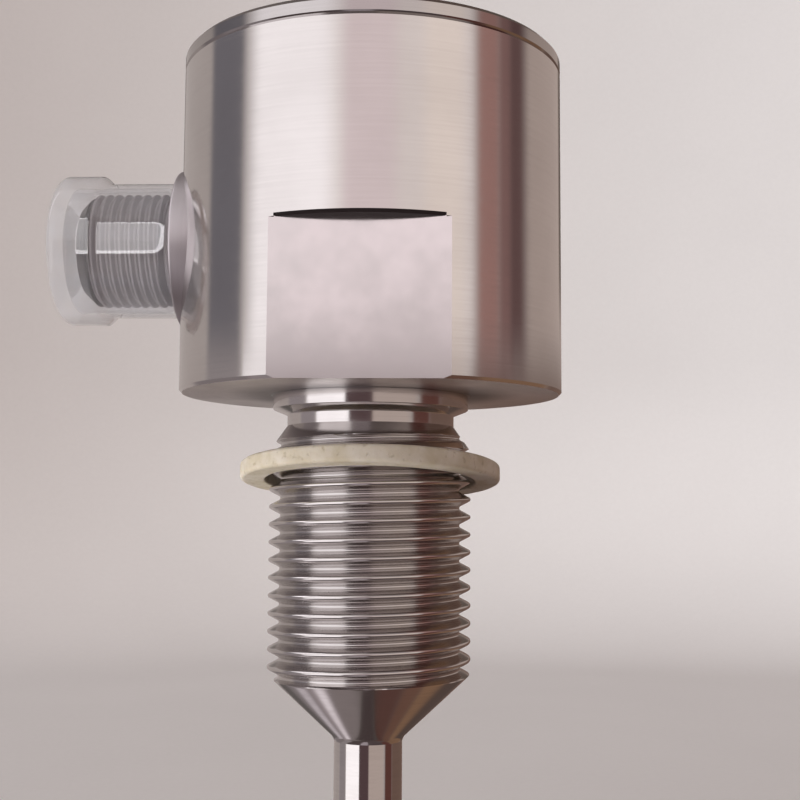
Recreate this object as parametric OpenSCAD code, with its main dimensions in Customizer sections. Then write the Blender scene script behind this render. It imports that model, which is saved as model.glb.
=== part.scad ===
// Water flow switch with a round head, a threaded process fitting, a probe rod and a side plug.
// Millimetres. The origin is the centre of the head's underside, +Z points up through the head,
// the front wrench flat faces -Y and the plug points towards -X.

/* [Head] */
// Outer diameter of the head
head_d = 39.8; // [39:0.1:42]
// Height of the head without its lid
head_h = 33.7; // [33.2:0.1:36]
// Wall of the head round its main bore
head_wall = 3.9; // [3.7:0.1:4]
// Thickness of the head's floor
floor_t = 4.5; // [4.2:0.1:4.8]
// Depth of each wrench flat below the round wall
flat_depth = 1.9; // [1.4:0.1:2.1]
// Height of the wrench flats above the underside
flat_h = 15; // [8:0.5:20]
// Broken edge at the underside and at the lip over each flat
edge_break = 0.3; // [0.1:0.05:0.5]
// Broken edge on either side of the seam under the lid
seam_break = 0.2; // [0.1:0.05:0.4]

/* [Lid] */
// Thickness of the lid's visible rim
lid_rim_t = 1.8; // [1.4:0.1:2.6]
// Bevel round the lid's top
lid_bevel = 0.5; // [0.2:0.1:1]
// Thickness of the lid over its hollow
lid_web = 2.5; // [2:0.1:3]
// Length of the lid's spigot below the rim
spigot_h = 4.2; // [3.8:0.1:4.4]
// Section of the lid's sealing ring
lid_ring_w = 1.06; // [0.9:0.02:1.2]

/* [Process fitting] */
// Outer diameter of the process thread
thread_d = 20.955; // [20.7:0.005:21.1]
// Length of the process thread between its two chamfers
thread_len = 22.85; // [18:0.05:26]
// Diameter of the short collar under the head
collar_d = 20.4; // [19.6:0.1:20.8]
// Height of the short collar
collar_h = 1.5; // [1:0.1:2]
// Diameter of the relief groove
relief_d = 17.4; // [16.8:0.1:18.2]
// Depth at which the relief groove ends and the run-in chamfer begins
relief_end = 3.25; // [3:0.05:3.8]
// Length of the run-in chamfer
run_in = 2.5; // [1.5:0.1:3]
// Length of the cone between thread and rod
cone_len = 6.5; // [5.5:0.1:8]
// Radius of the blend between cone and rod
cone_blend = 1.2; // [0.6:0.1:1.6]
// Diameter of the spigot through the head's floor
neck_d = 17; // [16.6:0.1:17.2]

/* [Probe] */
// Diameter of the probe rod
probe_d = 7; // [6.8:0.1:7.2]
// Wall thickness of the probe tube
probe_wall = 0.6; // [0.4:0.05:0.7]
// Distance from the head's underside to the probe's tip
probe_len = 66; // [60:1:90]
// Rounding of the probe's tip
tip_round = 1; // [0.4:0.1:1.4]

/* [Plug] */
// Height of the plug's axis above the underside
plug_z = 15.5; // [15.2:0.1:16]
// Outer diameter of the plug's thread
plug_d = 12; // [11.8:0.05:12]
// Length of the plug beyond its collar
plug_len = 10.3; // [9:0.1:11]
// Width of the round collar beyond the plug's thread
plug_collar_w = 2.4; // [2.2:0.1:2.6]
// How far the collar stands proud of the round wall
plug_proud = 0.2; // [0:0.05:0.5]
// Inner diameter of the plug's socket
socket_d = 8.5; // [8.3:0.1:8.7]
// Diameter of the insulating contact carrier
carrier_d = 9.4; // [9.2:0.1:9.6]
// Diameter of one contact pin
pin_d = 1; // [0.8:0.05:1.1]
// Diameter of the circle that the pins stand on
pin_circle_d = 5; // [4.6:0.1:5.2]

/* [Protective cap] */
// Room between the plug's thread and the cap's sleeve
cap_play = 0.62; // [0.5:0.01:0.8]
// Height of the cap's grip bead above its sleeve
cap_bead_h = 0.8; // [0.5:0.05:1.2]
// Length of the cap's grip bead, its slope left out
cap_bead_len = 4.45; // [2.5:0.05:5]
// Wall thickness of the cap's sleeve
cap_wall = 0.5; // [0.45:0.01:0.6]
// Thickness of the cap's closed end
cap_floor_t = 1.5; // [0.8:0.1:2]

/* [Washer] */
// Width of the loose washer's ring
washer_w = 2.6; // [2:0.1:4]
// Play of the washer's hole on the thread
washer_play = 0.845; // [0.745:0.05:1.6]
// Thickness of the loose washer
washer_t = 1.8; // [1:0.1:2]
// Depth of the washer's centre below the underside
washer_drop = 8.15; // [7:0.05:20]
// Tilt of the washer as it lies on the thread
washer_tilt = 7; // [0:0.5:7.5]

/* [Circuit boards] */
// Thickness of each circuit board
board_t = 1.6; // [1.2:0.1:1.6]
// Height of the lower board's underside above the head's floor
board_rise = 5.5; // [5.4:0.1:5.7]
// Length of the posts between the two boards
post_len = 12.4; // [12:0.1:12.6]
// Diameter of the posts
post_d = 3.2; // [3:0.1:3.4]
// Distance of the posts' centres from the wall of the bore
post_inset = 3.2; // [3:0.1:3.3]

/* [Hidden] */
$fn = 96;

eps = 0.01;
// running clearance between turned pieces that slide into each other
turn_gap = 0.02;
// clearance round moulded and cast pieces
cast_gap = 0.05;
// gap between the cap's mouth and the collar
mouth_gap = 0.2;
// gap between a spigot's end and the step below it
step_gap = 0.3;

head_r = head_d / 2;
bore_r = head_r - head_wall;
flats_w = head_d - 2 * flat_depth;
lid_bore_r = bore_r + 1.4;
lid_bore_z = head_h - spigot_h - step_gap;
lid_spigot_r = lid_bore_r - cast_gap;
lid_ring_r = lid_bore_r - turn_gap - lid_ring_w / 2;
lid_groove_r = lid_ring_r - lid_ring_w / 2 - turn_gap;
lid_groove_z = head_h - spigot_h / 2;
lid_groove_w = lid_ring_w + 0.2;

thread_r = thread_d / 2;
// fourteen turns to the inch, flanks at 55 degrees, a sixth of the pitch left flat at crest and root
thread_pitch = 25.4 / 14;
thread_flat = thread_pitch / 6;
thread_depth = thread_pitch / 3 / tan(27.5);
neck_r = neck_d / 2;
thread_top = -(relief_end + run_in);
thread_end = thread_top - thread_len;
neck_top = floor_t + 4;
nut_h = 3;
nut_r = bore_r - post_inset - post_d / 2 - 0.2;
nut_slot_w = 2.5;
nut_slot_d = 0.48 * (nut_r - neck_r);
neck_ring_w = 0.9;
neck_ring_r = neck_r - neck_ring_w / 2;
neck_groove_r = neck_ring_r - neck_ring_w / 2 - turn_gap;
neck_groove_z = floor_t / 2;
collar_sink = 0.3;
collar_recess_r = thread_r + turn_gap;

washer_in_r = (thread_d + washer_play) / 2;

board_r = bore_r - 1;
board_z = floor_t + board_rise;
board_top = board_z + board_t;
upper_z = board_top + post_len;
upper_top = upper_z + board_t;
post_r = bore_r - post_inset;

probe_r = probe_d / 2;
probe_in_r = probe_r - probe_wall;
probe_top = neck_top + 1;
tip_t = 0.8;
tube_floor = tip_t - probe_len;
cone_slope = (thread_r - probe_r) / cone_len;
cone_turn = atan(cone_slope);
blend_len = cone_blend * tan(cone_turn / 2);
cone_end = thread_end - cone_len;

strip_w = 4.4;
strip_t = 0.5;
strip_top = board_top + 1.5;
strip_end = tube_floor + 1;
chip_w = 2.4;
chip_t = 0.9;
chip_h = 3;
heated_z = strip_end + 0.5;
sensor_pitch = 10.5;
reference_z = heated_z + sensor_pitch;
filling_top = reference_z + chip_h + 2;
plug_stop_h = 3;

collar_r = plug_d / 2 + plug_collar_w;
collar_pocket_r = collar_r + 0.1;
seat_d = sqrt(head_r * head_r - collar_r * collar_r) - 0.1;
collar_face = head_r + plug_proud;
plug_end = collar_face + plug_len;
shell_in = bore_r - 0.5;
shell_spigot_r = plug_d / 2 + 0.4;
port_r = shell_spigot_r + 0.03;
plug_ring_w = 0.86;
plug_groove_r = shell_spigot_r + 1.3;
plug_groove_t = plug_ring_w + 0.04;
plug_relief_r = plug_d / 2 - 0.65;
plug_relief_w = 1;
plug_run_in = 0.5;
plug_nose = 1.3;
socket_r = socket_d / 2;
socket_depth = 7.5;
carrier_face = plug_end - socket_depth;
carrier_r = carrier_d / 2;
carrier_back = shell_in + 0.3;
key_r = 0.8;
key_len = 6;
pin_reach = plug_end - 1.4;
pin_back = carrier_back - 3.3;
pin_point = 0.4;
pin_at = pin_circle_d / 2 * sin(45);

cap_in_r = plug_d / 2 + cap_play;
cap_r = cap_in_r + cap_wall;
cap_bead_r = cap_r + cap_bead_h;
cap_lip_r = plug_d / 2 + 0.15;
cap_mouth = collar_face + mouth_gap;
cap_lip_end = cap_mouth + 0.7;
cap_floor = plug_end + 0.9;
cap_end = cap_floor + cap_floor_t;
cap_round = 1;
mouth_round = 0.4;
cap_bead_start = cap_end - cap_bead_len;

post_hole_r = post_d / 2 + turn_gap;
post_foot = floor_t - 1.8;
stud_r = 0.85;
stud_bore_r = 0.9;
stud_hole_r = 1;
stud_len = 3;
stud_bore_len = 5;
screw_head_r = 1.75;
screw_head_h = 1.3;
screw_len = 4;
post_angles = [90, 210, 330];
wire_r = 0.6;
wire_x = 9;
wire_step = 1.6;

header_x = board_r - 6;
header_w = 2.5;
header_len = 7.6;
capacitor_x = 3;
capacitor_y = board_r - 7;
capacitor_d = 6.3;
capacitor_h = 5.4;
choke_x = board_r - 11.5;
choke_y = board_r - 6.5;
choke_w = 6;
choke_h = 3;
chip_x = 4.8;
amplifier_y = board_r - 8.6;
amplifier_w = 5;
amplifier_len = 4;
regulator_y = board_r - 7.6;
regulator_w = 4.9;
regulator_len = 3.9;
package_h = 1.5;
controller_y = 2;
controller_w = 7;
controller_h = 1;
switch_x = board_r - 7.5;
switch_y = board_r - 9;
switch_w = 6.4;
switch_len = 3.4;
switch_h = 1.7;

// points of a quarter turn or less, from angle a to angle b round a centre
function arc(c, r, a, b, n = 6) = [for (i = [0:n]) c + r * [cos(a + (b - a) * i / n), sin(a + (b - a) * i / n)]];

// places a turned shape on the plug's axis, its height running outwards along -X
module on_plug_axis() {
    translate([0, 0, plug_z]) rotate([0, -90, 0]) children();
}

// a turned ring from radius a to radius b and from height p to height q
module ring(a, b, p, q) {
    rotate_extrude() translate([a, p]) square([b - a, q - p]);
}

// a sealing ring of round section
module seal_ring(r, w) {
    rotate_extrude() translate([r, 0]) circle(d = w, $fn = 32);
}

module at_posts() {
    for (a = post_angles) rotate([0, 0, a]) translate([post_r, 0, 0]) children();
}

module block(x, y, z, w, d, h) {
    translate([x - w / 2, y - d / 2, z]) cube([w, d, h]);
}

// pot turned from bar, open at the top, with flats, side port, holes for the posts and a shallow
// recess round the fitting's collar
module head_housing() {
    color([0.79, 0.78, 0.77]) difference() {
        rotate_extrude() polygon([[neck_r + turn_gap, collar_sink], [collar_recess_r, collar_sink],
            [collar_recess_r, 0], [head_r - edge_break, 0], [head_r, edge_break],
            [head_r, head_h - seam_break], [head_r - seam_break, head_h], [lid_bore_r, head_h],
            [lid_bore_r, lid_bore_z], [bore_r, lid_bore_z],
            [bore_r, floor_t], [neck_r + turn_gap, floor_t]]);
        for (s = [-1, 1]) wrench_flat(s);
        on_plug_axis() cylinder(r = port_r, h = head_d);
        on_plug_axis() translate([0, 0, seat_d]) cylinder(r = collar_pocket_r, h = head_d);
        at_posts() translate([0, 0, post_foot]) cylinder(r = post_hole_r, h = floor_t);
    }
}

// the cut of one wrench flat, with the broken edge of the lip above it
module wrench_flat(side) {
    chord = sqrt(head_r * head_r - flats_w * flats_w / 4) * 2 - 1;
    translate([-head_r, side > 0 ? flats_w / 2 : -flats_w / 2 - head_r, -1]) cube([head_d, head_r, flat_h + 1]);
    intersection() {
        translate([-chord / 2, side > 0 ? flats_w / 2 : -flats_w / 2 - head_r, 0]) cube([chord, head_r, head_h]);
        rotate_extrude() polygon([[head_r - edge_break, flat_h - eps], [head_r + 1, flat_h - eps],
            [head_r + 1, flat_h + edge_break + 1], [head_r, flat_h + edge_break]]);
    }
}

// closed lid with a hollow spigot and a groove for its ring
module head_cover() {
    top = head_h + lid_rim_t;
    color([0.8, 0.79, 0.78]) rotate_extrude() polygon([[0, top], [head_r - lid_bevel, top],
        [head_r, top - lid_bevel], [head_r, head_h + seam_break], [head_r - seam_break, head_h],
        [lid_spigot_r, head_h],
        [lid_spigot_r, lid_groove_z + lid_groove_w / 2], [lid_groove_r, lid_groove_z + lid_groove_w / 2],
        [lid_groove_r, lid_groove_z - lid_groove_w / 2], [lid_spigot_r, lid_groove_z - lid_groove_w / 2],
        [lid_spigot_r, head_h - spigot_h], [bore_r - 1, head_h - spigot_h], [bore_r - 1, top - lid_web],
        [0, top - lid_web]]);
}

module cover_o_ring() {
    color([0.08, 0.08, 0.08]) translate([0, 0, lid_groove_z]) seal_ring(lid_ring_r, lid_ring_w);
}

// collar, relief, thread as plain rings, cone blended into the rod, and the spigot above
module process_fitting() {
    hole_r = probe_r + turn_gap;
    // centre of the blend, which ends just before it would meet the rod
    blend_c = [probe_r + cone_blend, cone_end - blend_len];
    blend_stop = 180 - 14;
    color([0.77, 0.76, 0.75]) rotate_extrude() difference() {
        polygon(concat([[hole_r, neck_top], [neck_r - 0.4, neck_top],
            [neck_r, neck_top - 0.4], [neck_r, neck_groove_z + neck_ring_w / 2 + 0.1],
            [neck_groove_r, neck_groove_z + neck_ring_w / 2 + 0.1],
            [neck_groove_r, neck_groove_z - neck_ring_w / 2 - 0.1],
            [neck_r, neck_groove_z - neck_ring_w / 2 - 0.1], [neck_r, collar_sink], [collar_d / 2, collar_sink],
            [collar_d / 2, -collar_h], [relief_d / 2, -collar_h - 0.6], [relief_d / 2, -relief_end],
            [thread_r, thread_top], [thread_r, thread_end]],
            arc(blend_c, cone_blend, 180 - cone_turn, blend_stop),
            [[hole_r, blend_c[1] + cone_blend * sin(blend_stop)]]));
        thread_grooves();
    }
}

// profile of the grooves between the crests, from the run-in chamfer to where they run out in the cone
module thread_grooves() {
    half = (thread_pitch - thread_flat) / 2;
    for (i = [-1:ceil(thread_len / thread_pitch) - 1])
        translate([thread_r, thread_top - (i + 0.5) * thread_pitch]) polygon([[1, half], [0, half],
            [-thread_depth, thread_flat / 2], [-thread_depth, -thread_flat / 2], [0, -half], [1, -half]]);
}

module fitting_o_ring() {
    color([0.08, 0.08, 0.08]) translate([0, 0, neck_groove_z]) seal_ring(neck_ring_r, neck_ring_w);
}

// slotted round nut on the spigot
module ring_nut() {
    color([0.72, 0.6, 0.34]) difference() {
        ring(neck_r + turn_gap, nut_r, floor_t, floor_t + nut_h);
        for (a = [0:90:270]) rotate([0, 0, a]) block(nut_r, 0, floor_t - 1, 2 * nut_slot_d, nut_slot_w, nut_h + 2);
    }
}

// thin tube closed at the bottom with a rounded edge
module probe_tube() {
    color([0.79, 0.78, 0.77]) rotate_extrude() polygon(concat([[probe_in_r, probe_top], [probe_in_r, tube_floor],
        [0, tube_floor], [0, -probe_len]], arc([probe_r - tip_round, tip_round - probe_len], tip_round, -90, 0),
        [[probe_r, probe_top]]));
}

module sensor_strip() {
    color([0.75, 0.5, 0.15]) block(0, 0, strip_end, strip_w, strip_t, strip_top - strip_end);
}

module heated_sensor() {
    color([0.9, 0.9, 0.86]) block(0, -(strip_t + chip_t) / 2, heated_z, chip_w, chip_t, chip_h);
}

module reference_sensor() {
    color([0.9, 0.9, 0.86]) block(0, -(strip_t + chip_t) / 2, reference_z, chip_w, chip_t, chip_h);
}

// filling round the strip and the two chips
module tip_filling() {
    g = cast_gap;
    color([0.85, 0.85, 0.88]) difference() {
        translate([0, 0, tube_floor + g]) cylinder(r = probe_in_r - g, h = filling_top - tube_floor - g);
        block(0, 0, strip_end - g, strip_w + 2 * g, strip_t + 2 * g, filling_top - strip_end + 1);
        for (z = [heated_z, reference_z])
            block(0, -(strip_t + chip_t) / 2, z - g, chip_w + 2 * g, chip_t + 2 * g, chip_h + 2 * g);
    }
}

module tube_plug() {
    g = cast_gap;
    color([0.55, 0.16, 0.12]) difference() {
        translate([0, 0, probe_top - plug_stop_h]) cylinder(r = probe_in_r - g, h = plug_stop_h);
        block(0, 0, probe_top - plug_stop_h - 1, strip_w + 2 * g, strip_t + 2 * g, plug_stop_h + 2);
    }
}

// resin layer on the floor, round the spigot, the nut and the posts
module head_potting() {
    g = cast_gap;
    color([0.1, 0.1, 0.12]) difference() {
        ring(neck_r + g, bore_r - g, floor_t, board_z - 0.7);
        translate([0, 0, floor_t - 1]) cylinder(r = nut_r + g, h = nut_h + 1 + g);
        at_posts() translate([0, 0, floor_t - 1]) cylinder(d = post_d + 2 * g, h = board_z);
    }
}

module lower_pillars() {
    color([0.78, 0.66, 0.38]) at_posts() difference() {
        translate([0, 0, post_foot]) cylinder(d = post_d, h = board_z - post_foot);
        translate([0, 0, board_z - stud_bore_len]) cylinder(r = stud_bore_r, h = stud_bore_len + 1);
    }
}

module sensor_board() {
    color([0.1, 0.35, 0.18]) difference() {
        translate([0, 0, board_z]) cylinder(r = board_r, h = board_t);
        at_posts() translate([0, 0, board_z - 1]) cylinder(r = stud_hole_r, h = board_t + 2);
        block(0, 0, board_z - 1, strip_w + 0.6, strip_t + 0.6, board_t + 2);
    }
}

module upper_pillars() {
    color([0.78, 0.66, 0.38]) at_posts() {
        difference() {
            translate([0, 0, board_top]) cylinder(d = post_d, h = post_len);
            translate([0, 0, upper_z - stud_bore_len]) cylinder(r = stud_bore_r, h = stud_bore_len + 1);
        }
        translate([0, 0, board_z - stud_len]) cylinder(r = stud_r, h = stud_len + board_t + eps);
    }
}

module main_board() {
    color([0.1, 0.35, 0.18]) difference() {
        translate([0, 0, upper_z]) cylinder(r = board_r, h = board_t);
        at_posts() translate([0, 0, upper_z - 1]) cylinder(r = stud_hole_r, h = board_t + 2);
    }
}

module board_screws() {
    color([0.7, 0.7, 0.72]) at_posts() rotate_extrude() polygon([[0, upper_top + screw_head_h],
        [screw_head_r - 0.4, upper_top + screw_head_h], [screw_head_r, upper_top + screw_head_h - 0.5],
        [screw_head_r, upper_top], [stud_r, upper_top], [stud_r, upper_z - screw_len], [0, upper_z - screw_len]]);
}

module board_header() {
    color([0.06, 0.06, 0.07]) block(header_x, 0, board_top, header_w, header_len, post_len);
}

module buffer_capacitor() {
    color([0.62, 0.63, 0.66]) translate([capacitor_x, capacitor_y, board_top])
        cylinder(d = capacitor_d, h = capacitor_h);
}

module supply_choke() {
    color([0.16, 0.16, 0.17]) block(choke_x, -choke_y, board_top, choke_w, choke_w, choke_h);
}

module amplifier_chip() {
    color([0.05, 0.05, 0.06])
        block(-chip_x, amplifier_y, board_top, amplifier_w, amplifier_len, package_h);
}

module regulator_chip() {
    color([0.05, 0.05, 0.06])
        block(-chip_x, -regulator_y, board_top, regulator_w, regulator_len, package_h);
}

module controller_chip() {
    color([0.05, 0.05, 0.06]) block(0, -controller_y, upper_top, controller_w, controller_w, controller_h);
}

module output_switches() {
    color([0.05, 0.05, 0.06]) for (s = [-1, 1])
        block(s * switch_x, switch_y, upper_top, switch_w, switch_len, switch_h);
}

// plug body: spigot in the wall, round collar on its seat, threaded barrel and stepped bore
module plug_shell() {
    color([0.74, 0.73, 0.72]) on_plug_axis() rotate_extrude() polygon([[carrier_r + turn_gap, shell_in],
        [shell_spigot_r, shell_in], [shell_spigot_r, seat_d + plug_groove_t],
        [plug_groove_r, seat_d + plug_groove_t], [plug_groove_r, seat_d], [collar_r, seat_d],
        [collar_r, collar_face - edge_break], [collar_r - edge_break, collar_face],
        [plug_relief_r, collar_face], [plug_relief_r, collar_face + plug_relief_w],
        [plug_d / 2, collar_face + plug_relief_w + plug_run_in], [plug_d / 2, plug_end - plug_nose],
        [plug_d / 2 - plug_nose, plug_end], [socket_r, plug_end], [socket_r, carrier_face],
        [carrier_r + turn_gap, carrier_face]]);
}

module plug_seal() {
    color([0.08, 0.08, 0.08]) on_plug_axis() translate([0, 0, seat_d + plug_ring_w / 2 + turn_gap / 2])
        seal_ring((shell_spigot_r + plug_groove_r) / 2, plug_ring_w);
}

// places a shape at each of the four contacts, on the plug's own axes
module at_pins() {
    for (a = [-1, 1], b = [-1, 1]) translate([a * pin_at, b * pin_at, 0]) children();
}

// insert with four holes and the coding rib along the top of the socket
module contact_carrier() {
    color([0.07, 0.07, 0.08]) on_plug_axis() difference() {
        union() {
            translate([0, 0, carrier_back]) cylinder(r = carrier_r, h = carrier_face - carrier_back);
            intersection() {
                translate([0, 0, carrier_face - 0.5]) cylinder(r = socket_r - cast_gap, h = key_len + 0.5);
                translate([socket_r, 0, carrier_face - 0.5]) cylinder(r = key_r, h = key_len + 0.5);
            }
        }
        at_pins() translate([0, 0, carrier_back - 1]) cylinder(d = pin_d + 2 * turn_gap, h = plug_end, $fn = 32);
    }
}

module contact_pins() {
    color([0.83, 0.68, 0.32]) on_plug_axis() at_pins() rotate_extrude($fn = 32) polygon([[0, pin_back],
        [pin_d / 2, pin_back], [pin_d / 2, pin_reach - pin_point], [pin_d / 4, pin_reach], [0, pin_reach]]);
}

// one wire per pin: straight back from the pin, then up to the upper board
module plug_wires() {
    color([0.45, 0.2, 0.1]) for (s = [-1, 1], i = [0, 1]) {
        z = plug_z + (i == 0 ? pin_at : -pin_at);
        x = wire_x - i * wire_step;
        translate([-x, s * pin_at, z]) sphere(r = wire_r, $fn = 24);
        translate([-x, s * pin_at, z]) rotate([0, -90, 0]) cylinder(r = wire_r, h = pin_back - x, $fn = 24);
        translate([-x, s * pin_at, z]) cylinder(r = wire_r, h = upper_z - z, $fn = 24);
    }
}

// clear cap: sleeve, grip bead, closed end and a lip inside its mouth
module protective_cap() {
    color([0.93, 0.94, 0.95, 0.4]) on_plug_axis() rotate_extrude() polygon(concat(
        [[0, cap_floor], [cap_in_r - 0.4, cap_floor], [cap_in_r, cap_floor - 0.4], [cap_in_r, cap_lip_end + 0.5],
        [cap_lip_r, cap_lip_end], [cap_lip_r, cap_mouth + 0.2], [cap_lip_r + 0.2, cap_mouth]],
        arc([cap_r - mouth_round, cap_mouth + mouth_round], mouth_round, -90, 0),
        [[cap_r, cap_bead_start - cap_bead_h], [cap_bead_r, cap_bead_start]],
        arc([cap_bead_r - cap_round, cap_end - cap_round], cap_round, 0, 90), [[0, cap_end]]));
}

// flat ring lying loosely on the thread, its front edge higher
module seal_washer() {
    color([0.9, 0.86, 0.74]) translate([0, 0, -washer_drop]) rotate([-washer_tilt, 0, 0])
        ring(washer_in_r, washer_in_r + washer_w, -washer_t / 2, washer_t / 2);
}

head_housing();
head_cover();
cover_o_ring();
process_fitting();
fitting_o_ring();
ring_nut();
probe_tube();
sensor_strip();
heated_sensor();
reference_sensor();
tip_filling();
tube_plug();
head_potting();
lower_pillars();
sensor_board();
upper_pillars();
main_board();
board_screws();
board_header();
buffer_capacitor();
supply_choke();
amplifier_chip();
regulator_chip();
controller_chip();
output_switches();
plug_shell();
plug_seal();
contact_carrier();
contact_pins();
plug_wires();
protective_cap();
seal_washer();
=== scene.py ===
"""Water flow switch: cut threads, rounded edges, finishes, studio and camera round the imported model."""

import math

import bmesh
import bpy
import numpy as np
from bpy.props import (
    FloatProperty,
    FloatVectorProperty,
    IntProperty,
    PointerProperty,
)
from mathutils import Matrix, Vector, noise


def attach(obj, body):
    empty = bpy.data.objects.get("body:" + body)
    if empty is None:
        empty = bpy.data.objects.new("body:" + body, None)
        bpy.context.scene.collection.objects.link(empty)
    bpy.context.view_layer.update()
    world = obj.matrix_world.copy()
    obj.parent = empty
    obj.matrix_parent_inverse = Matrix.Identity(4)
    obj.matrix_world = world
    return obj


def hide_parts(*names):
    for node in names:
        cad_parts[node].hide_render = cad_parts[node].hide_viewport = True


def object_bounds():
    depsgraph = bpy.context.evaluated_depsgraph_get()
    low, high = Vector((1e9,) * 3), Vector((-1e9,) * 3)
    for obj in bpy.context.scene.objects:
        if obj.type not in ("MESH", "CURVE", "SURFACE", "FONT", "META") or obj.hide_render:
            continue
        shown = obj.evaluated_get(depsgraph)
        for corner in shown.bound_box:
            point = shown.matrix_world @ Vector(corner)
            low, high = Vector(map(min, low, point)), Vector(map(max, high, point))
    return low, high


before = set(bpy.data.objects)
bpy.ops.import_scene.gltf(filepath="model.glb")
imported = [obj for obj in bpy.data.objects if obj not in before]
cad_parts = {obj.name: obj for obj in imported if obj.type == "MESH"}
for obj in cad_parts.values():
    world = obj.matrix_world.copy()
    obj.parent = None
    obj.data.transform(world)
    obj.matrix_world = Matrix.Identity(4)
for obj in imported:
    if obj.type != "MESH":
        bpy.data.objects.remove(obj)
cad_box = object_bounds()

bl_info = {
    "name": "Water flow switch",
    "version": (1, 0, 0),
    "blender": (4, 5, 0),
    "location": "3D View > Sidebar > Flow switch",
    "description": "Dresses a thermal flow switch: threads, finishes, studio and camera",
    "category": "Object",
}

MM = 0.001

# sizes in millimetres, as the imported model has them
PLUG_AXIS_Z = 15.5
FLAT_TOP = 15.0
FLAT_Y = 18.0
LID_SEAM = 33.7
# process fitting: outline above the thread, as (radius, height, rounding)
FITTING_TOP = [
    (3.52, 8.5, 0.1), (8.1, 8.5, 0.0), (8.5, 8.1, 0.0), (8.5, 2.8, 0.05), (7.58, 2.8, 0.1),
    (7.58, 1.7, 0.1), (8.5, 1.7, 0.05), (8.5, 0.3, 0.1), (10.48, 0.3, 0.0), (10.48, 0.0, 0.0),
    (10.2, -0.05, 0.0), (10.2, -1.5, 0.12), (8.7, -2.1, 0.2), (8.7, -3.2, 0.0),
]
# heights of the process thread: where its run-in begins at the relief, its first and last full crest, and
# where its last turn ends on the cone
THREAD_START = -3.25
THREAD_FULL = -5.75
THREAD_LAST = -28.6
THREAD_STOP = -29.9
RELIEF_RADIUS = 8.7
CONE_SLOPE = 6.9775 / 6.5
# thread forms: half angle in degrees, then half the flats and the roundings at crest and root in pitches
PROCESS_FORM = (27.5, 0, 0, 0.1373, 0.1373)
PLUG_FORM = (30, 0.11, 0.11, 0.06, 0.1)
# hollow blend between cone and rod, as an arc between two angles in degrees
BLEND_CENTRE = (4.7, -35.62)
BLEND_RADIUS = 1.2
BLEND_FROM = 180 - 47.03
BLEND_TO = 180 - 14
BLEND_STEPS = 7
# plug, as (radius, distance along its axis, rounding)
PLUG_BACK = [
    (4.72, 15.5, 0.0), (6.4, 15.5, 0.1), (6.4, 18.84, 0.0), (7.7, 18.84, 0.0), (7.7, 17.94, 0.0),
    (8.4, 17.94, 0.0), (8.4, 20.1, 0.28), (5.35, 20.1, 0.15), (5.35, 21.05, 0.0),
]
PLUG_NOSE = [(5.3, 29.8, 0.0), (4.7, 30.4, 0.12), (4.25, 30.4, 0.12), (4.25, 22.9, 0.0), (4.72, 22.9, 0.0)]
PLUG_RELIEF_RADIUS = 5.35
# where the plug's thread starts, has its first and its last full crest, and stops
PLUG_THREAD = (21.1, 21.6, 29.1, 29.75)
CAP = [
    (0.0, 31.3, 0.0), (6.62, 31.3, 0.4), (6.62, 21.5, 0.2), (6.15, 21.0, 0.15), (6.15, 20.3, 0.15),
    (7.12, 20.3, 0.4), (7.12, 27.55, 0.5), (7.92, 28.35, 0.4), (7.92, 32.8, 1.0), (0.0, 32.8, 0.0),
]
WASHER = [(10.9, -0.9, 0.22), (13.5, -0.9, 0.4), (13.5, 0.9, 0.4), (10.9, 0.9, 0.22)]
WASHER_Z = -8.15
WASHER_TILT = 7.0
# unevenness of the washer: waves to the metre and their height in millimetres
WASHER_WAVES = ((260, 0.035), (900, 0.015))
CAP_COLUMNS = 144
WASHER_COLUMNS = 180
# painted shade and dark reflections on turned steel: from and to along the axis, radius where it is full and
# where it ends, strength, and how much rougher it makes the steel
FITTING_PAINTED_SHADES = [
    # painted shade and dark reflection in the valleys of the process thread
    (THREAD_LAST, THREAD_START, 10.0, 10.4, 0.13, 0.05),
    # painted shade at the joint under the head
    (-0.06, 0.3, 10.6, 10.7, 0.8, 0.2),
]
PLUG_PAINTED_SHADES = [
    # painted dark reflection on the plug's nose
    (-31, -29.0, 6.0, 6.6, 0.9, 0.0),
    # painted shade in the valleys of the plug's thread
    (-29.0, -21.0, 6.1, 6.2, 0.06, 0.16),
]
# painted shade and dark reflection on the head's underside round the collar: full at the first radius, gone
# at the second
UNDER_SHADE = (10.3, 16.0)


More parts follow.
